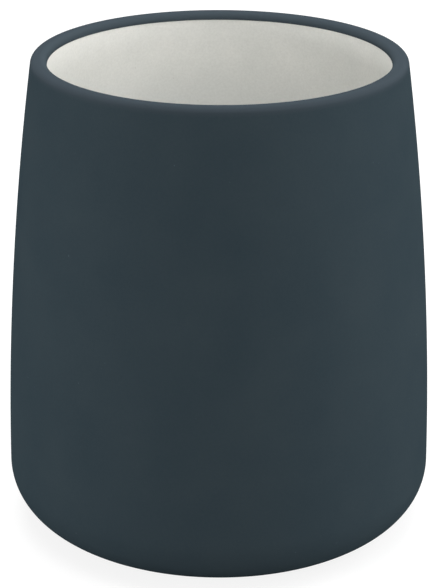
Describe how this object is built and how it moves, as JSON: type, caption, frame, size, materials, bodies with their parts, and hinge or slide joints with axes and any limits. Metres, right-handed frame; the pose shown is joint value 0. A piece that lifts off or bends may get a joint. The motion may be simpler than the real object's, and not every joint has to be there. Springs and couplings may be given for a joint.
{
  "type": "pen holder",
  "caption": "Round ceramic desk cup for pens: bowed wall drawn in to a rounded rim, dark matt outside, pale satin well, rubber pads in a recessed foot.",
  "frame": {"origin": "on the desk, under the middle of the pot: the centre of the bounding box's bottom face, in the plane of the pads' undersides", "axes": "+Z is the pot's axis, up towards the mouth; the pot is turned, so X and Y differ only in where the pads lie"},
  "size_m": [0.09, 0.09, 0.1],
  "materials": {
    "bare_stoneware": "matte",
    "dark_matt_glaze": "matte",
    "pale_satin_glaze": "satin",
    "grey_rubber": "matte",
    "adhesive_film": "satin"
  },
  "bodies": {
    "root": {"ceramic_body": "bare_stoneware", "outer_glaze": "dark_matt_glaze", "inner_glaze": "pale_satin_glaze", "base_glaze": "dark_matt_glaze", "foot_pad_1": "grey_rubber", "foot_pad_2": "grey_rubber", "foot_pad_3": "grey_rubber", "foot_pad_4": "grey_rubber", "foot_adhesive_1": "adhesive_film", "foot_adhesive_2": "adhesive_film", "foot_adhesive_3": "adhesive_film", "foot_adhesive_4": "adhesive_film"}
  },
  "joints": []
}
